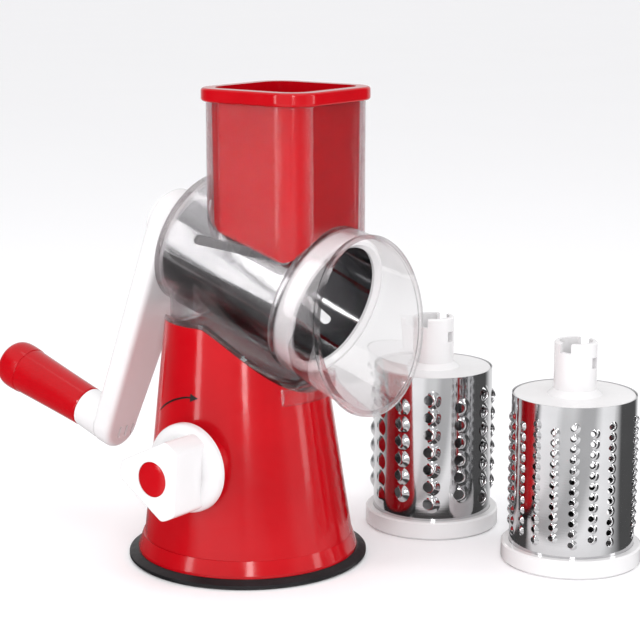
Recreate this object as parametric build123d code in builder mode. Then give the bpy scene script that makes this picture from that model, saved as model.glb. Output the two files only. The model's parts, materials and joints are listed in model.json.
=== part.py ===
"""Rotary cheese grater: suction base, clear feed housing, hand crank and three drums.

Millimetres, +Z up. The origin is the centre of the suction foot on the table. +X is the
way the mouth faces, and the locking knob is on the -Y side.
"""
from build123d import *
import os
from math import acos, cos, degrees, radians, sin

os.makedirs("parts", exist_ok=True)

# ---------------------------------------------------------------- driving dimensions
# Drum barrel: its axis tips down towards the mouth. "Station" is the distance along it.
BARREL_TILT = 17.2
BARREL_X, BARREL_Z = 13.9, 153.9
BARREL_INNER_R, BARREL_OUTER_R = 34.6, 36.4
WALL_IN, WALL_OUT = -42.6, -45.0
BEARING_END = -55.4
SHOULDER = 35.2
RING_SEAT = 37.2

# Drums: sheet sleeve, hub with a hollow spindle, and a ring at the open end.
SLEEVE_R, SLEEVE_THICK = 32.6, 0.5
SLEEVE_BACK, SLEEVE_FRONT = -42.2, 43.9
HUB_R, HUB_BACK, HUB_DISC, HUB_SKIRT = 31.9, -42.0, -39.4, -34.0
SPINDLE_R, SPINDLE_BORE, SPINDLE_END = 11.2, 8.6, -70.0
RING_R, RING_BACK, RING_LIP, RING_FRONT = 36.8, 37.5, 44.0, 47.5
RING_MOUTH_R = 31.7
COARSE_AT = (48.7, 103.5)
FINE_AT = (143.1, 94.0)

# Base: a cone that leans back a little, on a collar, on a rubber suction foot.
FOOT_R, COLLAR_R, SEAM_R = 63.0, 58.0, 55.6
FOOT_TOP, SEAM_Z, BASE_TOP = 4.4, 12.9, 132.0
BASE_LOW_R, BASE_HIGH_R = 55.0, 39.6
BASE_LOW_X, BASE_HIGH_X = 0.5, -3.1
BASE_WALL = 2.4
SADDLE_R, SHOULDER_Z = 48.6, 127.8
SCREW_RING_R = 45.0
WEB_LOW, WEB_HIGH = 18.0, 20.5

# Suction lock: a knob turns an eccentric pin, which lifts the rod by LIFT.
KNOB_X, KNOB_Z = 6.0, 60.0
KNOB_BACK, KNOB_FACE = -52.4, -81.9
KNOB_R = 23.0
SHAFT_R, PIN_R = 5.0, 2.2
LIFT = 4.0
PIN_OFFSET = LIFT / 2
ROD_R = 5.0
RUNNING = 0.06

# Hopper and pusher: rounded squares about a vertical axis.
HOPPER_X = 26.8
HOPPER_OUTER, HOPPER_INNER = (32.85, 15.0), (30.65, 12.8)
HOPPER_TOP = 241.6
PUSHER_SIDE, PUSHER_RIM = (30.1, 12.3), (34.9, 16.0)
PUSHER_TOP, PUSHER_WALL = 248.6, 2.0
PUSHER_BOTTOM_R = 35.6

# Hood: a flared mouth from the barrel to a nearly upright rim.
HOOD_BACK_R, HOOD_RIM_R, HOOD_WALL = 39.4, 44.4, 1.8
RIM_X, RIM_Z, RIM_LEAN = 79.2, 132.9, 6.3

# Neck and deck, which seat the housing on the base.
NECK_R, NECK_WALL, NECK_BOTTOM = 37.2, 2.0, 84.0
DECK_THICK, SEAT_GAP = 2.2, 0.3

# Crank: two half shells, and a grip that spins on a pin.
ARM_ANGLE, ARM_LENGTH = 7.2, 118.0
ARM_HUB_R, ARM_END_R = 18.5, 12.2
ARM_IN, ARM_SEAM, ARM_OUT = -57.0, -63.5, -70.0
ARM_WALL = 2.2
SOCKET_R, SOCKET_OUTER, SOCKET_END = 11.5, 14.0, -72.6
COLLAR_END, GRIP_CAP, GRIP_END = -84.0, -131.0, -148.0
HANDLE_PIN_R = 3.0

FAR = 150.0
TILT = radians(BARREL_TILT)
AXIS = Vector(cos(TILT), 0, -sin(TILT))
BARREL = Plane(origin=(BARREL_X, 0, BARREL_Z), x_dir=(0, 1, 0), z_dir=AXIS)
GRIP_Y = -ARM_LENGTH * sin(radians(ARM_ANGLE))
GRIP_W = -ARM_LENGTH * cos(radians(ARM_ANGLE))
GRIP = Plane(origin=BARREL.from_local_coords(Vector(GRIP_Y, GRIP_W, 0)), x_dir=(0, 1, 0), z_dir=AXIS)
KNOB = Plane(origin=(KNOB_X, 0, KNOB_Z), x_dir=(1, 0, 0), z_dir=(0, -1, 0))


# ---------------------------------------------------------------- shared helpers
def half_plane(frame):
    """Plane through a frame's axis: local x is the radius, local y the station."""
    return Plane(origin=frame.origin, x_dir=frame.x_dir, z_dir=frame.x_dir.cross(frame.z_dir))


def base_radius(z):
    """Outer radius of the base cone at a height."""
    share = (z - SEAM_Z) / (BASE_TOP - SEAM_Z)
    return BASE_LOW_R + (BASE_HIGH_R - BASE_LOW_R) * share


def base_centre(z):
    """X of the base cone's centre at a height."""
    share = (z - SEAM_Z) / (BASE_TOP - SEAM_Z)
    return BASE_LOW_X + (BASE_HIGH_X - BASE_LOW_X) * share


def base_cone(grow, low=SEAM_Z, high=BASE_TOP):
    """Leaning cone of the base, grown outwards by a distance."""
    with BuildPart() as cone:
        for height in (low, high):
            with BuildSketch(Plane.XY.offset(height)):
                with Locations((base_centre(height), 0)):
                    Circle(base_radius(height) + grow)
        loft()
    return cone.part


def under_top(grow, gap):
    """What the base's top edge covers: the grown cone below its saddle and shoulders, plus a gap."""
    with BuildPart() as covered:
        add(base_cone(grow, NECK_BOTTOM - 10, BASE_TOP + 4))
        with Locations(BARREL):
            Cylinder(SADDLE_R - gap, 2 * FAR, mode=Mode.SUBTRACT)
        with Locations((0, 0, SHOULDER_Z + gap)):
            Box(FAR, FAR, FAR, align=(Align.CENTER, Align.CENTER, Align.MIN), mode=Mode.SUBTRACT)
    return covered.part


def rounded_square(plane, size):
    """Rounded square about the hopper's axis, given as (half width, corner radius)."""
    half, corner = size
    with BuildSketch(plane) as square:
        with Locations((HOPPER_X, 0)):
            RectangleRounded(2 * half, 2 * half, corner)
    return square.sketch


def save(builder, name):
    """Label a finished piece and write its STEP file."""
    builder.part.label = name
    export_step(builder.part, f"parts/{name}.step")


# ---------------------------------------------------------------- suction foot and base
ROD_FOOT_R, ROD_FOOT_LOW, ROD_FOOT_HIGH = 8.0, 6.5, 9.5
CUP_GAP = 0.25

with BuildPart() as suction_cup:
    with BuildSketch(Plane.XZ):
        with BuildLine():
            Polyline(
                (0, 3.0), (44, 2.2), (51, 0), (61.6, 0), (FOOT_R, 1.2), (FOOT_R, 2.6),
                (58.8, FOOT_TOP), (47, FOOT_TOP), (20, 8.0), (12, 8.4), (11, 12.6),
                (ROD_R + CUP_GAP, 12.6), (ROD_R + CUP_GAP, ROD_FOOT_HIGH + CUP_GAP),
                (ROD_FOOT_R + CUP_GAP, ROD_FOOT_HIGH + CUP_GAP),
                (ROD_FOOT_R + CUP_GAP, ROD_FOOT_LOW - CUP_GAP), (0, ROD_FOOT_LOW - CUP_GAP),
                close=True,
            )
        make_face()
    revolve(axis=Axis.Z)
save(suction_cup, "suction_cup")

GUIDE_TOP, GUIDE_OUTER = 40.0, 9.0
SPIGOT_R, SPIGOT_TOP = 51.2, WEB_HIGH
POST_FRONT, POST_BACK, POST_TOP = -22.0, -16.0, 69.0
SCREW_HOLE_R = 2.0

with BuildPart() as base_collar:
    with BuildSketch(Plane.XZ):
        with BuildLine():
            Polyline(
                (COLLAR_R, FOOT_TOP), (COLLAR_R, FOOT_TOP + 1.4), (SEAM_R, SEAM_Z),
                (SPIGOT_R, SEAM_Z), (SPIGOT_R, SPIGOT_TOP), (GUIDE_OUTER, SPIGOT_TOP),
                (GUIDE_OUTER, GUIDE_TOP), (ROD_R + RUNNING, GUIDE_TOP), (ROD_R + RUNNING, WEB_LOW),
                (SPIGOT_R - 2.5, WEB_LOW), (SPIGOT_R - 2.5, FOOT_TOP), close=True,
            )
        make_face()
    revolve(axis=Axis.Z)
    with BuildSketch(Plane.XZ.offset(-POST_BACK)):
        with BuildLine():
            Polyline(
                (KNOB_X - 15, WEB_HIGH - 1), (KNOB_X + 15, WEB_HIGH - 1), (KNOB_X + 9, POST_TOP - 4),
                (KNOB_X + 5, POST_TOP), (KNOB_X - 5, POST_TOP), (KNOB_X - 9, POST_TOP - 4), close=True,
            )
        make_face()
    extrude(amount=POST_BACK - POST_FRONT)
    with Locations(KNOB.offset(-POST_BACK)):
        Cylinder(SHAFT_R + RUNNING, 3 * (POST_BACK - POST_FRONT), mode=Mode.SUBTRACT)
    with Locations((0, 0, WEB_LOW)):
        with PolarLocations(SCREW_RING_R, 4, start_angle=45):
            Cylinder(SCREW_HOLE_R, 4 * (WEB_HIGH - WEB_LOW), mode=Mode.SUBTRACT)
save(base_collar, "base_collar")

CONE, CONE_INSIDE = base_cone(0), base_cone(-BASE_WALL)
BOSS_R, BOSS_TOP = 4.4, 48.0
PAD_R, PAD_FACE = 17.0, -52.0
BUSH_R, BUSH_END = 8.5, -36.0
PILOT_R, PILOT_DEPTH = 1.7, 16.0

with BuildPart() as base_shell:
    add(CONE)
    with BuildSketch(KNOB.offset(-PAD_FACE)):
        Circle(PAD_R)
    extrude(amount=-20)
    add(CONE_INSIDE, mode=Mode.SUBTRACT)
    with BuildSketch(KNOB.offset(-BUSH_END)):
        Circle(BUSH_R)
    extrude(amount=BUSH_END - PAD_FACE - 1)
    with Locations((0, 0, (WEB_HIGH + BOSS_TOP) / 2)):
        with PolarLocations(SCREW_RING_R, 4, start_angle=45):
            Cylinder(BOSS_R, BOSS_TOP - WEB_HIGH)
    with Locations((0, 0, WEB_HIGH + PILOT_DEPTH / 2)):
        with PolarLocations(SCREW_RING_R, 4, start_angle=45):
            Cylinder(PILOT_R, PILOT_DEPTH, mode=Mode.SUBTRACT)
    with Locations(KNOB.offset(-PAD_FACE)):
        Cylinder(SHAFT_R + RUNNING, 60, mode=Mode.SUBTRACT)
    with Locations(BARREL):
        Cylinder(SADDLE_R, 2 * FAR, mode=Mode.SUBTRACT)
    with Locations((0, 0, SHOULDER_Z)):
        Box(FAR, FAR, FAR, align=(Align.CENTER, Align.CENTER, Align.MIN), mode=Mode.SUBTRACT)
save(base_shell, "base_shell")

SCREW_HEAD_R, SCREW_HEAD = 3.6, 2.4

with BuildPart() as base_screws:
    with PolarLocations(SCREW_RING_R, 4, start_angle=45):
        with Locations((0, 0, WEB_LOW - SCREW_HEAD / 2)):
            Cylinder(SCREW_HEAD_R, SCREW_HEAD)
        with Locations((0, 0, WEB_LOW + 7)):
            Cylinder(PILOT_R - 0.1, 14)
        with Locations((0, 0, WEB_LOW - SCREW_HEAD)):
            Box(4.6, 0.9, 1.6, mode=Mode.SUBTRACT)
            Box(0.9, 4.6, 1.6, mode=Mode.SUBTRACT)
save(base_screws, "base_screws")

# ---------------------------------------------------------------- suction lock
SHAFT_SQUARE, SQUARE_END, SHAFT_END, PIN_END = 6.8, -66.4, -5.0, 6.0
KNOB_SIDE, KNOB_LOBE_R = 14.7, 21.6
CAP_R, CAP_DEPTH = 9.0, 2.6
KNOB_SCREW_SEAT = -69.4
LOBE_TURN = 176
KNOB_DOME = 8.6 - KNOB_BACK
CAP_LOW, CAP_TOP = -KNOB_FACE - CAP_DEPTH, 0.4 - KNOB_FACE


with BuildPart() as lock_knob:
    with BuildSketch(half_plane(KNOB)):
        with BuildLine():
            Polyline(
                (KNOB_R - 9, KNOB_DOME), (0, KNOB_DOME), (0, -KNOB_BACK), (KNOB_R - 1, -KNOB_BACK),
                (KNOB_R, 1.2 - KNOB_BACK), (KNOB_R, 3.0 - KNOB_BACK),
            )
            TangentArc((KNOB_R, 3.0 - KNOB_BACK), (KNOB_R - 9, KNOB_DOME), tangent=(0, 1))
        make_face()
    revolve(axis=Axis(KNOB.origin, KNOB.z_dir))
    with BuildSketch(KNOB.offset(4 - KNOB_BACK)) as lobes:
        RegularPolygon(2 * KNOB_SIDE, 3, rotation=LOBE_TURN)
        Circle(KNOB_LOBE_R, mode=Mode.INTERSECT)
        fillet(lobes.vertices(), radius=3)
    extrude(amount=KNOB_BACK - KNOB_FACE - 4)
    front = lock_knob.faces().sort_by(Axis.Y)[0]
    fillet(front.edges(), radius=1.3)
    with BuildSketch(KNOB.offset(-KNOB_FACE)):
        Circle(CAP_R)
    extrude(amount=-CAP_DEPTH, mode=Mode.SUBTRACT)
    with BuildSketch(KNOB.offset(-KNOB_FACE)):
        Circle(SCREW_HEAD_R + 0.6)
    extrude(amount=KNOB_FACE - KNOB_SCREW_SEAT, mode=Mode.SUBTRACT)
    with BuildSketch(KNOB.offset(-KNOB_FACE)):
        Circle(SCREW_HOLE_R)
    extrude(amount=KNOB_FACE - KNOB_BACK, mode=Mode.SUBTRACT)
    with BuildSketch(KNOB.offset(-KNOB_BACK)):
        Rectangle(SHAFT_SQUARE, SHAFT_SQUARE)
    extrude(amount=KNOB_BACK - SQUARE_END, mode=Mode.SUBTRACT)
save(lock_knob, "lock_knob")

with BuildPart() as knob_cap:
    with BuildSketch(half_plane(KNOB)):
        with BuildLine():
            Polyline((0, CAP_TOP), (0, CAP_LOW), (CAP_R - 0.1, CAP_LOW), (CAP_R - 0.1, CAP_TOP - 0.7))
            Spline((CAP_R - 0.1, CAP_TOP - 0.7), (0, CAP_TOP), tangents=((-1, 0.3), (-1, 0)))
        make_face()
    revolve(axis=Axis(KNOB.origin, KNOB.z_dir))
save(knob_cap, "knob_cap")

with BuildPart() as knob_screw:
    with BuildSketch(KNOB.offset(-KNOB_SCREW_SEAT)):
        Circle(SCREW_HEAD_R)
    extrude(amount=SCREW_HEAD)
    with BuildSketch(KNOB.offset(-KNOB_SCREW_SEAT)):
        Circle(PILOT_R)
    extrude(amount=-14)
    with BuildSketch(KNOB.offset(-KNOB_SCREW_SEAT + SCREW_HEAD)):
        Rectangle(4.6, 0.9)
        Rectangle(0.9, 4.6)
    extrude(amount=-1.0, mode=Mode.SUBTRACT)
save(knob_screw, "knob_screw")

with BuildPart() as cam_shaft:
    with BuildSketch(KNOB.offset(-SHAFT_END)):
        Circle(SHAFT_R)
    extrude(amount=SHAFT_END - KNOB_BACK)
    with BuildSketch(KNOB.offset(-KNOB_BACK)):
        Rectangle(SHAFT_SQUARE, SHAFT_SQUARE)
    extrude(amount=KNOB_BACK - SQUARE_END)
    with BuildSketch(KNOB.offset(-SHAFT_END)):
        with Locations((-PIN_OFFSET, -PIN_OFFSET)):
            Circle(PIN_R)
    extrude(amount=SHAFT_END - PIN_END)
    with BuildSketch(KNOB.offset(-SQUARE_END)):
        Circle(PILOT_R + 0.1)
    extrude(amount=-14, mode=Mode.SUBTRACT)
save(cam_shaft, "cam_shaft")

YOKE_LOW, YOKE_HIGH, YOKE_HALF = 49.0, 66.0, 3.4
PIN_X, PIN_Z = KNOB_X - PIN_OFFSET, KNOB_Z - PIN_OFFSET
SLOT_PLAY = 0.25

with BuildPart() as pull_rod:
    with BuildSketch(Plane.XY.offset(ROD_FOOT_LOW)):
        Circle(ROD_FOOT_R)
    extrude(amount=ROD_FOOT_HIGH - ROD_FOOT_LOW)
    with BuildSketch(Plane.XY.offset(ROD_FOOT_LOW)):
        Circle(ROD_R)
    extrude(amount=YOKE_LOW - ROD_FOOT_LOW)
    with BuildSketch(Plane.XZ):
        with BuildLine():
            Polyline(
                (-ROD_R, YOKE_LOW - 1), (ROD_R, YOKE_LOW - 1), (11.5, YOKE_LOW + 4), (11.5, YOKE_HIGH),
                (-6.5, YOKE_HIGH), (-6.5, YOKE_LOW + 4), close=True,
            )
        make_face()
    extrude(amount=YOKE_HALF, both=True)
    with BuildSketch(Plane.XZ):
        with Locations((PIN_X - 0.4, PIN_Z)):
            SlotOverall(2 * PIN_R + 2.4, 2 * (PIN_R + SLOT_PLAY))
    extrude(amount=3 * YOKE_HALF, both=True, mode=Mode.SUBTRACT)
save(pull_rod, "pull_rod")

# ---------------------------------------------------------------- clear housing
RIM_DIR = Vector(cos(radians(RIM_LEAN)), 0, sin(radians(RIM_LEAN)))
RIM = Plane(origin=(RIM_X, 0, RIM_Z), x_dir=(0, 1, 0), z_dir=RIM_DIR)
RIM_BEAD = 2.4
FLARE_R, FLARE_LENGTH = 14.4, 3.0
BEARING_WALL = 2.8
TAB_LOW, TAB_HIGH, TAB_R, TAB_HALF_ANGLE = 90.0, 98.0, 46.8, 27.0


def hood_flare(shrink, start, overrun):
    """Flared cone of the hood between a barrel station and the rim."""
    with BuildPart() as flare:
        with BuildSketch(BARREL.offset(start)):
            Circle(HOOD_BACK_R - shrink)
        with BuildSketch(RIM.offset(overrun)):
            Circle(HOOD_RIM_R - shrink)
        loft()
    return flare.part


HOOD_OUTSIDE = hood_flare(0, SHOULDER, 0)
HOOD_INSIDE = hood_flare(HOOD_WALL, RING_SEAT, RIM_BEAD)

# The deck lies on the base's top edge, over its saddle and shoulders.
with BuildPart() as deck:
    add(under_top(0, SEAT_GAP + DECK_THICK))
    add(under_top(1, SEAT_GAP), mode=Mode.SUBTRACT)

# The front tab hooks over the outside of the base, clear of its wall all round.
with BuildPart() as tab:
    with BuildSketch(Plane.XY.offset(TAB_LOW)):
        with BuildLine():
            Line((0, 0), Vector(TAB_R, 0).rotate(Axis.Z, -TAB_HALF_ANGLE))
            CenterArc((0, 0), TAB_R, -TAB_HALF_ANGLE, 2 * TAB_HALF_ANGLE)
            Line(Vector(TAB_R, 0).rotate(Axis.Z, TAB_HALF_ANGLE), (0, 0))
        make_face()
        Circle(TAB_R - 8, mode=Mode.SUBTRACT)
    extrude(amount=TAB_HIGH - TAB_LOW)

# Room for the base's wall, which passes between the tab and the neck.
with BuildPart() as wall_room:
    add(under_top(2 * SEAT_GAP, SEAT_GAP))
    add(base_cone(-BASE_WALL - SEAT_GAP, NECK_BOTTOM - 12, BASE_TOP + 6), mode=Mode.SUBTRACT)

# The neck tube stands through the deck, from its plug in the base up to the barrel.
NECK_TOP_W = -6.0
with BuildPart() as neck:
    with BuildSketch(Plane.XY.offset(NECK_BOTTOM)):
        with Locations((BASE_HIGH_X, 0)):
            Circle(NECK_R)
            Circle(NECK_R - NECK_WALL, mode=Mode.SUBTRACT)
    extrude(amount=BARREL_Z - NECK_BOTTOM)
    with BuildSketch(BARREL.offset(WALL_OUT)):
        with Locations((0, NECK_TOP_W)):
            Rectangle(FAR, FAR, align=(Align.CENTER, Align.MAX))
    extrude(amount=FAR, mode=Mode.INTERSECT)

with BuildPart() as clear_housing:
    with BuildSketch(BARREL.offset(WALL_OUT)):
        Circle(BARREL_OUTER_R)
    extrude(amount=RING_SEAT - WALL_OUT)
    with BuildSketch(BARREL.offset(BEARING_END)):
        Circle(SPINDLE_R + RUNNING + BEARING_WALL)
    extrude(amount=WALL_OUT - BEARING_END)
    extrude(rounded_square(Plane.XY.offset(BARREL_Z), HOPPER_OUTER), amount=HOPPER_TOP - BARREL_Z)
    add(HOOD_OUTSIDE)
    with BuildSketch(RIM.offset(-RIM_BEAD / 2)):
        Circle(HOOD_RIM_R + 0.8)
    extrude(amount=RIM_BEAD)
    add(neck.part)
    add(deck.part)
    add(tab.part)
    add(wall_room.part, mode=Mode.SUBTRACT)
    with BuildSketch(BARREL.offset(WALL_IN)):
        Circle(BARREL_INNER_R)
    extrude(amount=RING_SEAT - WALL_IN, mode=Mode.SUBTRACT)
    add(HOOD_INSIDE, mode=Mode.SUBTRACT)
    extrude(
        rounded_square(Plane.XY.offset(BARREL_Z - 8), HOPPER_INNER),
        amount=HOPPER_TOP - BARREL_Z + 10, mode=Mode.SUBTRACT,
    )
    with BuildSketch(BARREL.offset(BEARING_END)):
        Circle(SPINDLE_R + RUNNING)
    extrude(amount=WALL_IN - BEARING_END, mode=Mode.SUBTRACT)
    with BuildSketch(half_plane(BARREL)):
        with BuildLine():
            Polyline(
                (0, WALL_IN + 1), (FLARE_R + 1.4, WALL_IN + 1), (FLARE_R + 0.6, WALL_IN),
                (SPINDLE_R + RUNNING, WALL_IN - FLARE_LENGTH - 0.6),
                (0, WALL_IN - FLARE_LENGTH - 0.6), close=True,
            )
        make_face()
    revolve(axis=Axis(BARREL.origin, AXIS), mode=Mode.SUBTRACT)
save(clear_housing, "clear_housing")

# ---------------------------------------------------------------- food pusher
RIM_LOW = HOPPER_TOP + 0.2
PUSHER_FOOT = 150.0
PUSHER_DRAFT = 1.0


def pusher_taper(shrink, top):
    """Tapered block of the pusher, shrunk inwards, from its foot to a height."""
    with BuildPart() as block:
        for height, draft in ((PUSHER_FOOT, PUSHER_DRAFT), (top, 0)):
            half, corner = PUSHER_SIDE
            inset = shrink + draft
            add(rounded_square(Plane.XY.offset(height), (half - inset, corner - inset)))
        loft()
    return block.part


PUSHER_BLOCK = pusher_taper(0, RIM_LOW + 1)
with BuildPart() as pusher_cavity:
    add(pusher_taper(PUSHER_WALL, PUSHER_TOP + 1))
    with Locations(BARREL):
        Cylinder(PUSHER_BOTTOM_R + PUSHER_WALL, 2 * FAR, mode=Mode.SUBTRACT)

with BuildPart() as food_pusher:
    extrude(rounded_square(Plane.XY.offset(RIM_LOW), PUSHER_RIM), amount=PUSHER_TOP - RIM_LOW)
    rim_faces = food_pusher.faces().filter_by(Axis.Z)
    fillet(rim_faces.edges(), radius=1.6)
    add(PUSHER_BLOCK)
    add(pusher_cavity.part, mode=Mode.SUBTRACT)
    with Locations(BARREL):
        Cylinder(PUSHER_BOTTOM_R, 2 * FAR, mode=Mode.SUBTRACT)
save(food_pusher, "food_pusher")

# ---------------------------------------------------------------- crank
KEY_WIDTH, KEY_INNER_R, KEY_START = 5.6, 8.2, -65.4
HEAD_OUT, HEAD_IN, HANDLE_HEAD_R = -65.4, -62.6, 6.0
INNER_ROUND, OUTER_ROUND = 3.6, 3.6
GROOVE_SIZE, GROOVE_DEPTH, GROOVE_STEP = (1.4, 6.5), 1.2, 5.0
GROOVE_LEAN = 86
GROOVE_AT = (GRIP_Y + 2.6, GRIP_W - 2.0)


def arm_outline(station, shrink):
    """Outline of the crank arm: two arcs, round its hub and its handle, joined by tangents."""
    down = Vector(GRIP_Y, GRIP_W).normalized()
    end = Vector(GRIP_Y, GRIP_W)
    lean = degrees(acos((ARM_HUB_R - ARM_END_R) / ARM_LENGTH))
    left, right = down.rotate(Axis.Z, -lean), down.rotate(Axis.Z, lean)
    hub, tip = ARM_HUB_R - shrink, ARM_END_R - shrink
    with BuildSketch(BARREL.offset(station)) as outline:
        with BuildLine():
            ThreePointArc(left * hub, down * -hub, right * hub)
            Line(right * hub, end + right * tip)
            ThreePointArc(end + right * tip, end + down * tip, end + left * tip)
            Line(end + left * tip, left * hub)
        make_face()
    return outline.sketch


with BuildPart() as crank_arm:
    extrude(arm_outline(ARM_SEAM, 0), amount=ARM_IN - ARM_SEAM)
    fillet(crank_arm.faces().sort_by(Axis(BARREL.origin, AXIS))[-1].edges(), radius=INNER_ROUND)
    extrude(arm_outline(ARM_SEAM, ARM_WALL), amount=ARM_IN - ARM_SEAM - ARM_WALL, mode=Mode.SUBTRACT)
    with BuildSketch(BARREL.offset(SOCKET_END)):
        Circle(SOCKET_OUTER)
    extrude(amount=ARM_IN - SOCKET_END)
    with BuildSketch(BARREL.offset(SPINDLE_END - 0.8)):
        Circle(SOCKET_R)
    extrude(amount=ARM_IN - SPINDLE_END + 0.8, mode=Mode.SUBTRACT)
    with BuildSketch(BARREL.offset(SPINDLE_END - 1.0)):
        for side in (-1, 1):
            with Locations((0, side * (KEY_INNER_R + SOCKET_R + 1) / 2)):
                Rectangle(KEY_WIDTH, SOCKET_R + 1 - KEY_INNER_R)
    extrude(amount=KEY_START - SPINDLE_END + 1.0)
    with BuildSketch(BARREL.offset(ARM_IN)):
        with Locations(GROOVE_AT):
            with GridLocations(GROOVE_STEP, 0, 3, 1):
                SlotOverall(GROOVE_SIZE[1], GROOVE_SIZE[0], rotation=GROOVE_LEAN)
    extrude(amount=-GROOVE_DEPTH, mode=Mode.SUBTRACT)
save(crank_arm, "crank_arm")

with BuildPart() as crank_arm_cover:
    extrude(arm_outline(ARM_OUT, 0), amount=ARM_SEAM - ARM_OUT)
    fillet(crank_arm_cover.faces().sort_by(Axis(BARREL.origin, AXIS))[0].edges(), radius=OUTER_ROUND)
    extrude(arm_outline(ARM_SEAM, ARM_WALL), amount=ARM_OUT - ARM_SEAM + ARM_WALL, mode=Mode.SUBTRACT)
    with BuildSketch(GRIP.offset(HEAD_OUT)):
        Circle(HANDLE_HEAD_R + 1.5)
    extrude(amount=ARM_OUT - HEAD_OUT + 1)
    with BuildSketch(half_plane(GRIP)):
        with BuildLine():
            Polyline((0, -68.5), (11.8, -68.5), (11.8, -70), (11.0, COLLAR_END), (0, COLLAR_END), close=True)
        make_face()
    revolve(axis=Axis(GRIP.origin, AXIS))
    with BuildSketch(GRIP.offset(COLLAR_END)):
        Circle(HANDLE_PIN_R + 0.05)
    extrude(amount=ARM_SEAM - COLLAR_END, mode=Mode.SUBTRACT)
    with BuildSketch(BARREL.offset(ARM_OUT)):
        Circle(SOCKET_OUTER + 0.2)
    extrude(amount=ARM_SEAM - ARM_OUT, mode=Mode.SUBTRACT)
save(crank_arm_cover, "crank_arm_cover")

PIN_TIP, TIP_HOLE_R, TIP_HOLE = -125.8, 1.8, 14.0
GRIP_SCREW_R, GRIP_SCREW_HEAD = 5.2, 2.6

with BuildPart() as handle_pin:
    with BuildSketch(GRIP.offset(PIN_TIP)):
        Circle(HANDLE_PIN_R)
    extrude(amount=HEAD_IN - PIN_TIP)
    with BuildSketch(GRIP.offset(HEAD_OUT)):
        Circle(HANDLE_HEAD_R)
    extrude(amount=HEAD_IN - HEAD_OUT)
    with BuildSketch(GRIP.offset(PIN_TIP)):
        Circle(TIP_HOLE_R)
    extrude(amount=TIP_HOLE, mode=Mode.SUBTRACT)
save(handle_pin, "handle_pin")

with BuildPart() as handle_screw:
    with BuildSketch(GRIP.offset(PIN_TIP - GRIP_SCREW_HEAD)):
        Circle(GRIP_SCREW_R)
    extrude(amount=GRIP_SCREW_HEAD)
    with BuildSketch(GRIP.offset(PIN_TIP)):
        Circle(TIP_HOLE_R - 0.1)
    extrude(amount=TIP_HOLE - 2)
    with BuildSketch(GRIP.offset(PIN_TIP - GRIP_SCREW_HEAD)):
        Rectangle(6.0, 1.0)
        Rectangle(1.0, 6.0)
    extrude(amount=1.2, mode=Mode.SUBTRACT)
save(handle_screw, "handle_screw")

COUNTERBORE_R = 6.6
GRIP_START = COLLAR_END - 0.4

with BuildPart() as handle_grip:
    with BuildSketch(half_plane(GRIP)):
        with BuildLine():
            Polyline(
                (13.0, GRIP_CAP), (COUNTERBORE_R, GRIP_CAP), (COUNTERBORE_R, PIN_TIP + 0.4),
                (HANDLE_PIN_R + RUNNING, PIN_TIP + 0.4), (HANDLE_PIN_R + RUNNING, GRIP_START),
                (10.6, GRIP_START), (11.2, GRIP_START - 0.8),
            )
            Spline((11.2, GRIP_START - 0.8), (11.7, -100), (13.0, GRIP_CAP))
        make_face()
    revolve(axis=Axis(GRIP.origin, AXIS))
save(handle_grip, "handle_grip")

with BuildPart() as grip_cap:
    with BuildSketch(half_plane(GRIP)):
        with BuildLine():
            Polyline(
                (0, GRIP_END), (0, GRIP_CAP + 1.6), (COUNTERBORE_R - 0.1, GRIP_CAP + 1.6),
                (COUNTERBORE_R - 0.1, GRIP_CAP - 0.1), (12.8, GRIP_CAP - 0.1), (13.3, GRIP_CAP - 0.6),
            )
            Spline(
                (13.3, GRIP_CAP - 0.6), (13.6, -138), (12.0, -144.4), (7.5, -147.4), (0, GRIP_END),
                tangents=((0.1, -1), (-1, 0)),
            )
        make_face()
    revolve(axis=Axis(GRIP.origin, AXIS))
save(grip_cap, "grip_cap")

# ---------------------------------------------------------------- drums
NOTCH_WIDTH, NOTCH_DEPTH = 6.2, 5.0
WINDOW_AT, WINDOW_SIZE = -59.5, (5.6, 4.4)
SLOT_COUNT, SLOT_LENGTH, SLOT_WIDTH, SLOT_TILT = 4, 57.0, 5.0, 12.0
SLOT_AT, SLOT_ANGLE = 1.5, 150.0


def wall_place(frame, station, angle):
    """Place on a drum's wall: local z points outwards, local x back along the axis."""
    around = frame.location * Location((0, 0, station), (0, 0, angle))
    return around * Location((SLEEVE_R, 0, 0), (0, 90, 0))


def hole_places(frame, angles, first, pitch, rows):
    """Staggered hole pattern: every other column has one row less, half a pitch on."""
    places = []
    for column, angle in enumerate(angles):
        shift = column % 2
        for row in range(rows - shift):
            places.append(wall_place(frame, first + (row + shift / 2) * pitch, angle))
    return places


def drum_sleeve(frame):
    """Plain sheet sleeve of a drum."""
    with BuildPart() as tube:
        with BuildSketch(frame.offset(SLEEVE_BACK)):
            Circle(SLEEVE_R)
            Circle(SLEEVE_R - SLEEVE_THICK, mode=Mode.SUBTRACT)
        extrude(amount=SLEEVE_FRONT - SLEEVE_BACK)
    return tube.part


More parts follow.
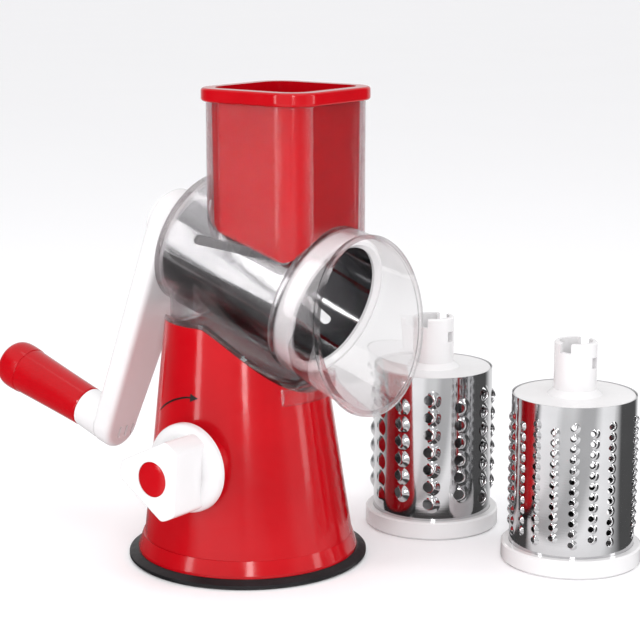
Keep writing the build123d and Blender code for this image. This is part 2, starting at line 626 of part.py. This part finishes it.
def drum_hub(frame, name):
    """Closed back of a drum, with its hollow, notched drive spindle."""
    with BuildPart() as hub:
        with BuildSketch(half_plane(frame)):
            with BuildLine():
                Polyline(
                    (0, HUB_BACK), (0, HUB_DISC), (HUB_R - 2.3, HUB_DISC), (HUB_R - 2.3, HUB_SKIRT),
                    (HUB_R, HUB_SKIRT), (HUB_R, HUB_BACK + 0.6), (HUB_R - 0.6, HUB_BACK),
                    (FLARE_R, HUB_BACK), (SPINDLE_R, HUB_BACK - FLARE_LENGTH),
                    (SPINDLE_R, SPINDLE_END + 0.8), (SPINDLE_R - 0.8, SPINDLE_END),
                    (SPINDLE_BORE, SPINDLE_END), (SPINDLE_BORE, HUB_BACK), close=True,
                )
            make_face()
        revolve(axis=Axis(frame.origin, frame.z_dir))
        with BuildSketch(frame.offset(SPINDLE_END)):
            Rectangle(NOTCH_WIDTH, 4 * SPINDLE_R)
        extrude(amount=NOTCH_DEPTH, mode=Mode.SUBTRACT)
        with Locations(frame.location * Location((SPINDLE_R, 0, WINDOW_AT))):
            Box(SPINDLE_R - 2, WINDOW_SIZE[1], WINDOW_SIZE[0], mode=Mode.SUBTRACT)
    save(hub, name)


def drum_ring(frame, name):
    """Moulded ring at a drum's open end, which takes the sleeve in its seat."""
    with BuildPart() as ring:
        with BuildSketch(half_plane(frame)):
            with BuildLine():
                Polyline(
                    (SLEEVE_R + 0.1, RING_BACK), (RING_R - 0.9, RING_BACK), (RING_R, RING_BACK + 0.9),
                    (RING_R, RING_FRONT - 1.2), (RING_R - 1.2, RING_FRONT), (RING_MOUTH_R + 2.2, RING_FRONT),
                    (RING_MOUTH_R, RING_FRONT - 2.0), (RING_MOUTH_R, RING_LIP), (SLEEVE_R + 0.1, RING_LIP),
                    close=True,
                )
            make_face()
        revolve(axis=Axis(frame.origin, frame.z_dir))
    save(ring, name)


def standing(place):
    """Frame of a spare drum standing on its ring on the table."""
    return Plane(origin=(place[0], place[1], RING_FRONT), x_dir=(1, 0, 0), z_dir=(0, 0, -1))


COARSE, FINE = standing(COARSE_AT), standing(FINE_AT)
for family, frame in (("slicer", BARREL), ("coarse", COARSE), ("fine", FINE)):
    drum_hub(frame, f"{family}_hub")
    drum_ring(frame, f"{family}_ring")

SLICER_BLANK, COARSE_BLANK, FINE_BLANK = (drum_sleeve(frame) for frame in (BARREL, COARSE, FINE))

with BuildPart() as slicer_sleeve:
    add(SLICER_BLANK)
    for slot in range(SLOT_COUNT):
        with BuildSketch(Plane(wall_place(BARREL, SLOT_AT, SLOT_ANGLE + slot * 360 / SLOT_COUNT))):
            SlotOverall(SLOT_LENGTH, SLOT_WIDTH, rotation=SLOT_TILT)
        extrude(amount=6, both=True, mode=Mode.SUBTRACT)
save(slicer_sleeve, "slicer_sleeve")

COARSE_HOLE_R, COARSE_COLUMNS, COARSE_PITCH, COARSE_ROWS, COARSE_FIRST = 3.0, 12, 9.7, 7, -30.0
FINE_HOLE_R, FINE_COLUMNS, FINE_PITCH, FINE_ROWS, FINE_FIRST = 1.6, 20, 5.6, 12, -31.5
FINE_SEAM_ANGLE = 7.0

with BuildPart() as coarse_sleeve:
    add(COARSE_BLANK)
    coarse_angles = [column * 360 / COARSE_COLUMNS for column in range(COARSE_COLUMNS)]
    with Locations(*hole_places(COARSE, coarse_angles, COARSE_FIRST, COARSE_PITCH, COARSE_ROWS)):
        Cylinder(COARSE_HOLE_R, 6 * SLEEVE_THICK, mode=Mode.SUBTRACT)
save(coarse_sleeve, "coarse_sleeve")

with BuildPart() as fine_sleeve:
    add(FINE_BLANK)
    fine_angles = [FINE_SEAM_ANGLE + column * 360 / FINE_COLUMNS for column in range(1, FINE_COLUMNS)]
    with Locations(*hole_places(FINE, fine_angles, FINE_FIRST, FINE_PITCH, FINE_ROWS)):
        Cylinder(FINE_HOLE_R, 6 * SLEEVE_THICK, mode=Mode.SUBTRACT)
save(fine_sleeve, "fine_sleeve")
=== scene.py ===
"""Rotary cheese grater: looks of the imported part, in metres, +Z up."""
import bpy
import json
from math import cos, pi, radians, sin, sqrt
from mathutils import Matrix, Vector


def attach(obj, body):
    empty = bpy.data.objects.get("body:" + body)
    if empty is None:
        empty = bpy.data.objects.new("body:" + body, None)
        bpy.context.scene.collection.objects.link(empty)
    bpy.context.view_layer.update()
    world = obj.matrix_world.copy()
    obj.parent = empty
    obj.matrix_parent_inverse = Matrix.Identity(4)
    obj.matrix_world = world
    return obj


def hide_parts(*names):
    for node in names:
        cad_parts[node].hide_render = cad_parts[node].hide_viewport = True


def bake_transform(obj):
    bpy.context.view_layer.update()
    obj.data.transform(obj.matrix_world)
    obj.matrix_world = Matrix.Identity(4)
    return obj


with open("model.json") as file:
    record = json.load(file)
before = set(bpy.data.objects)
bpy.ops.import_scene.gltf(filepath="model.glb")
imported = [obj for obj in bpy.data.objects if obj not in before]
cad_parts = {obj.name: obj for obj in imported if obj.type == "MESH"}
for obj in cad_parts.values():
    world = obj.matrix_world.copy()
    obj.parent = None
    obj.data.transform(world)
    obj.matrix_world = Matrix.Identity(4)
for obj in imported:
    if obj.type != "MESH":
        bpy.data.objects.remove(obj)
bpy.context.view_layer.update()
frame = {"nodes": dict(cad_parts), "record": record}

MM = 0.001
RED = (0.43, 0.0008, 0.005)
WHITE = (0.73, 0.72, 0.725)

# ---------------------------------------------------------------- placing
TILT = radians(17.2)
DRUM_MIDDLE = 47.5
SLEEVE_R = 32.6


def standing_drum(x, y):
    """Matrix from the millimetres of a drum standing on its ring, axis down, to metres."""
    return Matrix.Translation(Vector((x, y, DRUM_MIDDLE)) * MM) @ Matrix.Diagonal((MM, -MM, -MM, 1))


COARSE = standing_drum(48.7, 103.5)
FINE = standing_drum(143.1, 94.0)


# ---------------------------------------------------------------- materials
def add_node(tree, kind, **values):
    made = tree.nodes.new(kind)
    for key, value in values.items():
        setattr(made, key, value)
    return made


class Nodes:
    """Small helper that builds one node material."""

    def __init__(self, name):
        self.material = bpy.data.materials.new(name)
        self.material.use_nodes = True
        self.tree = self.material.node_tree
        self.shader = self.tree.nodes["Principled BSDF"]
        self.output = self.tree.nodes["Material Output"]

    def node(self, kind, **values):
        return add_node(self.tree, kind, **values)

    def link(self, source, target):
        self.tree.links.new(source, target)

    def place(self, scale=(1, 1, 1), turn=(0, 0, 0)):
        """Object coordinates, turned and scaled."""
        coord = self.node("ShaderNodeTexCoord")
        mapping = self.node("ShaderNodeMapping", vector_type="TEXTURE")
        mapping.inputs["Rotation"].default_value = turn
        scaled = self.node("ShaderNodeVectorMath", operation="MULTIPLY")
        scaled.inputs[1].default_value = scale
        self.link(coord.outputs["Object"], mapping.inputs["Vector"])
        self.link(mapping.outputs["Vector"], scaled.inputs[0])
        return scaled.outputs[0]

    def noise(self, vector, scale, detail=3.0, roughness=0.5):
        made = self.node("ShaderNodeTexNoise")
        made.inputs["Scale"].default_value = scale
        made.inputs["Detail"].default_value = detail
        made.inputs["Roughness"].default_value = roughness
        self.link(vector, made.inputs["Vector"])
        return made.outputs["Fac"]

    def spread(self, source, low, high, from_low=0.3, from_high=0.7):
        made = self.node("ShaderNodeMapRange")
        made.inputs["From Min"].default_value = from_low
        made.inputs["From Max"].default_value = from_high
        made.inputs["To Min"].default_value = low
        made.inputs["To Max"].default_value = high
        self.link(source, made.inputs["Value"])
        return made.outputs["Result"]

    def tones(self, source, low, high):
        made = self.node("ShaderNodeMix", data_type="RGBA")
        made.inputs["A"].default_value = (*low, 1)
        made.inputs["B"].default_value = (*high, 1)
        self.link(source, made.inputs["Factor"])
        return made.outputs["Result"]

    def bump(self, source, strength, distance):
        made = self.node("ShaderNodeBump")
        made.inputs["Strength"].default_value = strength
        made.inputs["Distance"].default_value = distance
        self.link(source, made.inputs["Height"])
        return made.outputs["Normal"]

    def set(self, **values):
        for key, value in values.items():
            self.shader.inputs[key.replace("_", " ")].default_value = value


def scaled(colour, factor):
    return tuple(min(1.0, channel * factor) for channel in colour)


def plastic(name, colour, rough=(0.10, 0.18), coat=0.12, vary=0.08, shine=0.28):
    """Gloss moulding: faint tone drift, moulded micro texture, soft wear in the gloss."""
    n = Nodes(name)
    where = n.place()
    drift = n.noise(where, 28.0, 4.0)
    n.link(n.tones(n.spread(drift, 0, 1), scaled(colour, 1 - vary), scaled(colour, 1 + vary)),
           n.shader.inputs["Base Color"])
    n.link(n.spread(n.noise(where, 160.0, 5.0, 0.6), *rough), n.shader.inputs["Roughness"])
    n.link(n.bump(n.noise(where, 620.0, 2.0), 0.035, 0.0004), n.shader.inputs["Normal"])
    n.set(IOR=1.5, Specular_IOR_Level=shine, Coat_Weight=coat, Coat_Roughness=0.04)
    return n.material


def metal(name, colour, rough, streak, turn=(0, 0, 0), strength=0.05):
    """Rolled sheet or turned metal: streaks run along the stretched direction."""
    n = Nodes(name)
    lines = n.noise(n.place(streak, turn), 1.0, 4.0, 0.65)
    soft = n.noise(n.place(), 45.0, 3.0)
    n.link(n.tones(n.spread(soft, 0, 1), scaled(colour, 0.93), scaled(colour, 1.04)),
           n.shader.inputs["Base Color"])
    n.link(n.spread(lines, *rough), n.shader.inputs["Roughness"])
    n.link(n.bump(lines, strength, 0.0002), n.shader.inputs["Normal"])
    n.set(Metallic=1.0)
    return n.material


def rubber(name):
    """Black rubber with a fine grain and dusty tone drift."""
    n = Nodes(name)
    where = n.place()
    dust = n.spread(n.noise(where, 60.0, 5.0), 0, 1)
    n.link(n.tones(dust, (0.006, 0.006, 0.007), (0.016, 0.015, 0.017)), n.shader.inputs["Base Color"])
    n.link(n.spread(n.noise(where, 240.0, 4.0), 0.34, 0.5), n.shader.inputs["Roughness"])
    n.link(n.bump(n.noise(where, 1500.0, 3.0), 0.12, 0.0003), n.shader.inputs["Normal"])
    n.set(Specular_IOR_Level=0.22)
    return n.material


def clear(name):
    """Clear styrene: smooth, faintly warm, with slight flow marks. Lamps shine through it."""
    n = Nodes(name)
    where = n.place()
    flow = n.spread(n.noise(where, 22.0), 0, 1)
    n.link(n.tones(flow, (0.975, 0.965, 0.968), (0.99, 0.985, 0.988)), n.shader.inputs["Base Color"])
    n.link(n.spread(n.noise(where, 130.0, 3.0), 0.012, 0.04), n.shader.inputs["Roughness"])
    n.link(n.bump(n.noise(where, 60.0, 2.0), 0.006, 0.0004), n.shader.inputs["Normal"])
    n.set(IOR=1.36, Transmission_Weight=1.0)
    # What shows through turns darker and pinkish grey at grazing angles: painted edge shade, not a tint of
    # the plastic.
    edge = n.node("ShaderNodeLayerWeight")
    edge.inputs["Blend"].default_value = 0.3
    painted_edge_shade = n.tones(edge.outputs["Facing"], (0.985, 0.98, 0.982), (0.74, 0.68, 0.70))
    path = n.node("ShaderNodeLightPath")
    through = n.node("ShaderNodeBsdfTransparent")
    n.link(painted_edge_shade, through.inputs["Color"])
    share = n.node("ShaderNodeMath", operation="MAXIMUM")
    share.inputs[1].default_value = 0.45
    n.link(path.outputs["Is Shadow Ray"], share.inputs[0])
    mix = n.node("ShaderNodeMixShader")
    n.link(share.outputs["Value"], mix.inputs["Fac"])
    n.link(n.shader.outputs["BSDF"], mix.inputs[1])
    n.link(through.outputs["BSDF"], mix.inputs[2])
    n.link(mix.outputs["Shader"], n.output.inputs["Surface"])
    return n.material


red = plastic("red_gloss_plastic", RED)
white = plastic("white_gloss_plastic", WHITE, (0.14, 0.24), 0.2, 0.025, 0.45)
housing = clear("clear_housing_plastic")
black = rubber("black_rubber")
fastener = metal("plated_fastener", (0.55, 0.55, 0.57), (0.22, 0.38), (900, 900, 60))
drum_steel = metal("drum_steel", (0.64, 0.64, 0.65), (0.05, 0.12), (12, 12, 1500))
# The fitted drum's steel is a darker copy of the drum steel: painted shade for the drum inside the
# housing.
shaded_fitted_steel = metal("fitted_drum_steel_painted_shade", (0.56, 0.56, 0.57), (0.06, 0.13), (1500, 12, 12), (0, TILT, 0))
ink = plastic("printed_mark", (0.012, 0.008, 0.008), (0.3, 0.45), 0.0, 0.3)

SLOT_LOOK = {
    "red_gloss": red,
    "white_gloss": white,
    "clear_plastic": housing,
    "polished_steel": drum_steel,
    "steel_fastener": fastener,
    "black_rubber": black,
}
slot_of = {row["node"]: row["material_slot"] for row in frame["record"]["subparts"]}


def paint(piece, material):
    piece.data.materials.clear()
    piece.data.materials.append(material)


for name, piece in frame["nodes"].items():
    paint(piece, SLOT_LOOK[slot_of[name]])
paint(frame["nodes"]["slicer_sleeve"], shaded_fitted_steel)


# ---------------------------------------------------------------- mesh pieces
def mesh_piece(name, points, faces, material, body, smooth=True):
    """One mesh from points in metres, painted and riding its body."""
    data = bpy.data.meshes.new(name)
    data.from_pydata([tuple(p) for p in points], [], faces)
    data.validate()
    data.update()
    for polygon in data.polygons:
        polygon.use_smooth = smooth
    piece = bpy.data.objects.new(name, data)
    bpy.context.scene.collection.objects.link(piece)
    paint(piece, material)
    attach(piece, body)


def on_sleeve(matrix, station, angle, along, around, height):
    """Point on a drum: along is down the axis, around is arc length, height off the sheet."""
    turn = angle + around / SLEEVE_R
    radius = SLEEVE_R + height
    return matrix @ Vector((radius * cos(turn), radius * sin(turn), station + along))


SCOOP_SWEEP = radians(205)
SCOOP_STEPS, SCOOP_RINGS = 14, 5
LIP_DEPTH = 0.3


def punched_tooth(matrix, station, angle, hole, height, points, faces):
    """Raised scoop round one side of a hole: each strip climbs from the sheet to the sharp lip.

    The last point of a strip is back down in the hole, which gives the lip its thickness.
    """
    first = len(points)
    for i in range(SCOOP_STEPS + 1):
        share = i / SCOOP_STEPS - 0.5
        swing = share * SCOOP_SWEEP
        rise = cos(share * pi) ** 0.8 if 0 < i < SCOOP_STEPS else 0.0
        foot, lip = 1.25 + 0.95 * rise, 1 - 0.22 * rise
        strip = []
        for j in range(SCOOP_RINGS + 1):
            t = j / SCOOP_RINGS
            strip.append((foot + (lip - foot) * t, height * rise * sin(t * pi / 2) ** 1.4 + 0.02))
        strip.append((0.97 - 0.10 * rise, height * rise * 0.35 - LIP_DEPTH))
        for reach, lift in strip:
            along, around = hole * reach * sin(swing), -hole * reach * cos(swing)
            points.append(on_sleeve(matrix, station, angle, along, around, lift))
    row = SCOOP_RINGS + 2
    for i in range(SCOOP_STEPS):
        for j in range(row - 1):
            a = first + i * row + j
            faces.append((a, a + 1, a + 1 + row, a + row))


def teeth(name, body, matrix, angles, first, pitch, rows, hole, height):
    """All the teeth of one grating drum, in the same staggered pattern as its holes."""
    points, faces = [], []
    for column, angle in enumerate(angles):
        shift = column % 2
        for row in range(rows - shift):
            station = first + (row + shift / 2) * pitch
            punched_tooth(matrix, station, angle, hole, height, points, faces)
    mesh_piece(name, points, faces, drum_steel, body)


coarse_angles = [column * 2 * pi / 12 for column in range(12)]
fine_angles = [radians(7) + column * 2 * pi / 20 for column in range(1, 20)]
teeth("coarse_teeth", "coarse_drum", COARSE, coarse_angles,
      first=-30.0, pitch=9.7, rows=7, hole=3.0, height=2.0)
teeth("fine_teeth", "fine_drum", FINE, fine_angles,
      first=-31.5, pitch=5.6, rows=12, hole=1.6, height=1.15)


# ---------------------------------------------------------------- rubber cup: a painted copy of the suction cup, which is hidden
cup = bpy.data.objects.new("flexing_cup", frame["nodes"]["suction_cup"].data.copy())
bpy.context.scene.collection.objects.link(cup)
paint(cup, black)
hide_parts("suction_cup")
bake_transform(cup)


# ---------------------------------------------------------------- lock arrow on the base
CONE_FOOT_Z, CONE_TOP_Z = 12.9, 132
CONE_FOOT_R, CONE_TAPER = 55.0, 15.4
CONE_FOOT_X, CONE_LEAN = 0.5, 3.6
ARROW_PATH = [Vector(p) for p in ((-26.4, 81.6), (-19.5, 86.4), (-11.5, 90.4), (-4.1, 92.7), (-0.6, 93.1))]
ARROW_TIP = ARROW_PATH[-1] + Vector((4.6, 0.1))
BAND_HALF, HEAD_HALF = 0.45, 2.1
INK_PROUD, INK_SUNK = 0.12, -0.4


def on_base(x, z, lift):
    """Point on the knob side of the base's cone, in metres."""
    share = (z - CONE_FOOT_Z) / (CONE_TOP_Z - CONE_FOOT_Z)
    centre, radius = CONE_FOOT_X - CONE_LEAN * share, CONE_FOOT_R - CONE_TAPER * share + lift
    return Vector((x, -sqrt(radius * radius - (x - centre) ** 2), z)) * MM


def smooth_path(path, cuts=8):
    """Catmull-Rom curve through the points."""
    curve = []
    for i in range(len(path) - 1):
        before, a, b, after = path[max(i - 1, 0)], path[i], path[i + 1], path[min(i + 2, len(path) - 1)]
        for k in range(cuts):
            t = k / cuts
            curve.append(0.5 * (2 * a + (b - before) * t + (2 * before - 5 * a + 4 * b - after) * t * t
                                + (3 * a - before - 3 * b + after) * t ** 3))
    return curve + [path[-1]]


def lock_arrow():
    """Plain curved arrow printed over the knob: a band that starts thin, and a pointed head."""
    spine = smooth_path(ARROW_PATH)
    outline = []
    for i, p in enumerate(spine):
        way = (spine[min(i + 1, len(spine) - 1)] - spine[max(i - 1, 0)]).normalized()
        outline.append((p, Vector((-way.y, way.x)) * BAND_HALF * min(1, 0.25 + i / 8)))
    neck = ARROW_PATH[-1]
    outline.append((neck + Vector((0.05, 0)), Vector((0, HEAD_HALF))))
    outline.append((neck.lerp(ARROW_TIP, 0.5), Vector((0, HEAD_HALF / 2))))
    outline.append((ARROW_TIP, Vector((0, 0.06))))
    points, faces = [], []
    for p, wide in outline:
        above, below = p + wide, p - wide
        for q, lift in ((above, INK_PROUD), (below, INK_PROUD), (below, INK_SUNK), (above, INK_SUNK)):
            points.append(on_base(q.x, q.y, lift))
    for i in range(len(outline) - 1):
        for j in range(4):
            a, b = 4 * i + j, 4 * i + (j + 1) % 4
            faces.append((a, b, b + 4, a + 4))
    last = 4 * (len(outline) - 1)
    faces += [(0, 1, 2, 3), (last + 3, last + 2, last + 1, last)]
    mesh_piece("lock_arrow", points, faces, ink, "base", smooth=False)


lock_arrow()


# ---------------------------------------------------------------- studio
FOCUS = Vector((0.045, 0.01, 0.12))
AZ, YAW, PITCH = radians(39.22), radians(2.29), radians(11.64)
straight = Vector((-sin(AZ), cos(AZ), 0))
right = Vector((cos(AZ), sin(AZ), 0))
level = straight * cos(YAW) + right * sin(YAW)
look = level * cos(PITCH) + Vector((0, 0, -1)) * sin(PITCH)

camera_data = bpy.data.cameras.new("camera")
camera_data.sensor_width = 36
camera_data.lens = 105.98
camera_data.clip_start = 0.01
camera = bpy.data.objects.new("camera", camera_data)
bpy.context.scene.collection.objects.link(camera)
camera.location = (0.6089, -0.7461, 0.3243)
camera.rotation_euler = look.to_track_quat("-Z", "Y").to_euler()
bpy.context.scene.camera = camera


def softbox(name, place, size, power):
    """Rectangular lamp that faces the middle of the set."""
    data = bpy.data.lights.new(name, "AREA")
    data.shape = "RECTANGLE"
    data.size, data.size_y = size
    data.energy = power
    lamp = bpy.data.objects.new(name, data)
    bpy.context.scene.collection.objects.link(lamp)
    lamp.location = place
    lamp.rotation_euler = (FOCUS - Vector(place)).to_track_quat("-Z", "Y").to_euler()


up = Vector((0, 0, 1))
softbox("left_strip", FOCUS - right * 0.95 - straight * 0.45 + up * 0.22, (0.14, 0.9), 2.4)
softbox("right_strip", FOCUS + right * 1.0 - straight * 0.25 + up * 0.22, (0.16, 0.9), 1.8)
softbox("overhead", FOCUS + up * 1.1 - straight * 0.15, (0.9, 0.9), 2.6)
softbox("front_strip", FOCUS - straight * 1.25 + up * 0.45, (0.16, 0.9), 6.0)

# Light and dark cards round the set: (degrees from the front, brightness). Only reflections show them.
CARDS = [(-180, 0.80), (-150, 0.75), (-128, 0.22), (-104, 0.06), (-70, 0.08), (-58, 0.95),
         (-20, 0.85), (-8, 0.6), (10, 0.62), (24, 0.42), (42, 0.45), (54, 0.9), (72, 0.8),
         (84, 0.08), (118, 0.08), (134, 0.75), (180, 0.80)]


def grey(value):
    return (value, value, value, 1)


def share_along(tree, vector, way):
    """How far a vector goes along a direction."""
    share = add_node(tree, "ShaderNodeVectorMath", operation="DOT_PRODUCT")
    share.inputs[1].default_value = tuple(way)
    tree.links.new(vector, share.inputs[0])
    return share.outputs["Value"]


def card_ramp(tree, vector):
    """Brightness of the cards in a direction, from its angle round the vertical."""
    angle = add_node(tree, "ShaderNodeMath", operation="ARCTAN2")
    tree.links.new(share_along(tree, vector, right), angle.inputs[0])
    tree.links.new(share_along(tree, vector, -straight), angle.inputs[1])
    turn = add_node(tree, "ShaderNodeMapRange")
    turn.inputs["From Min"].default_value = -pi
    turn.inputs["From Max"].default_value = pi
    tree.links.new(angle.outputs["Value"], turn.inputs["Value"])
    ramp = add_node(tree, "ShaderNodeValToRGB")
    tree.links.new(turn.outputs["Result"], ramp.inputs["Fac"])
    elements = ramp.color_ramp.elements
    elements[0].color = grey(CARDS[0][1])
    elements[1].color = grey(CARDS[-1][1])
    for degrees_round, value in CARDS[1:-1]:
        elements.new(0.5 + degrees_round / 360).color = grey(value)
    return ramp.outputs["Color"]


floor_data = bpy.data.meshes.new("floor")
floor_data.from_pydata([(-30, -30, 0), (30, -30, 0), (30, 30, 0), (-30, 30, 0)], [], [(0, 1, 2, 3)])
floor = bpy.data.objects.new("floor", floor_data)
bpy.context.scene.collection.objects.link(floor)
floor_look = Nodes("pale_floor")
floor_tone = floor_look.noise(floor_look.place(), 3.0, 2.0)
floor_look.link(floor_look.tones(floor_tone, (0.95, 0.945, 0.955), (0.97, 0.965, 0.975)),
                floor_look.shader.inputs["Base Color"])
floor_look.set(Roughness=0.55, Specular_IOR_Level=0.25)
# Only in reflections, the floor shows the cards' light and dark bands by angle round the set: painted
# reflection, not the floor's own colour.
mirrored = floor_look.node("ShaderNodeLightPath")
painted_card_bands = floor_look.node("ShaderNodeBsdfDiffuse")
from_set = floor_look.node("ShaderNodeVectorMath", operation="SUBTRACT")
from_set.inputs[1].default_value = (FOCUS.x, FOCUS.y, 0)
floor_look.link(floor_look.node("ShaderNodeTexCoord").outputs["Object"], from_set.inputs[0])
floor_look.link(card_ramp(floor_look.tree, from_set.outputs[0]), painted_card_bands.inputs["Color"])
floor_mix = floor_look.node("ShaderNodeMixShader")
floor_look.link(mirrored.outputs["Is Glossy Ray"], floor_mix.inputs["Fac"])
floor_look.link(floor_look.shader.outputs["BSDF"], floor_mix.inputs[1])
floor_look.link(painted_card_bands.outputs["BSDF"], floor_mix.inputs[2])
floor_look.link(floor_mix.outputs["Shader"], floor_look.output.inputs["Surface"])
floor.data.materials.append(floor_look.material)

world = bpy.data.worlds.new("studio")
bpy.context.scene.world = world
world.use_nodes = True
tree = world.node_tree
background = tree.nodes["Background"]


def mixed(factor, first, second):
    """Colour of the first socket, turning into a plain second colour."""
    made = add_node(tree, "ShaderNodeMix", data_type="RGBA")
    made.inputs["B"].default_value = second
    tree.links.new(factor, made.inputs["Factor"])
    tree.links.new(first, made.inputs["A"])
    return made.outputs["Result"]


# What is mirrored: the cards, with a pale roof over them.
around = add_node(tree, "ShaderNodeTexCoord").outputs["Generated"]
high = add_node(tree, "ShaderNodeMapRange")
high.inputs["From Min"].default_value = 0.45
high.inputs["From Max"].default_value = 0.8
tree.links.new(share_along(tree, around, up), high.inputs["Value"])
mirrored_sky = mixed(high.outputs["Result"], card_ramp(tree, around), (0.85, 0.85, 0.86, 1))
# What lights the object, and what the camera sees, directly or straight through the clear plastic.
path = add_node(tree, "ShaderNodeLightPath")
lit_sky = mixed(path.outputs["Is Diffuse Ray"], mirrored_sky, (1.0, 1.0, 1.01, 1))
straight_through = add_node(tree, "ShaderNodeMath", operation="GREATER_THAN")
tree.links.new(path.outputs["Is Transmission Ray"], straight_through.inputs[0])
tree.links.new(path.outputs["Glossy Depth"], straight_through.inputs[1])
open_view = add_node(tree, "ShaderNodeMath", operation="MAXIMUM")
tree.links.new(path.outputs["Is Camera Ray"], open_view.inputs[0])
tree.links.new(straight_through.outputs["Value"], open_view.inputs[1])
tree.links.new(mixed(open_view.outputs["Value"], lit_sky, (1.0, 1.0, 1.0, 1)), background.inputs["Color"])
background.inputs["Strength"].default_value = 1.0

bpy.context.scene.view_settings.view_transform = "Standard"

bpy.context.view_layer.update()
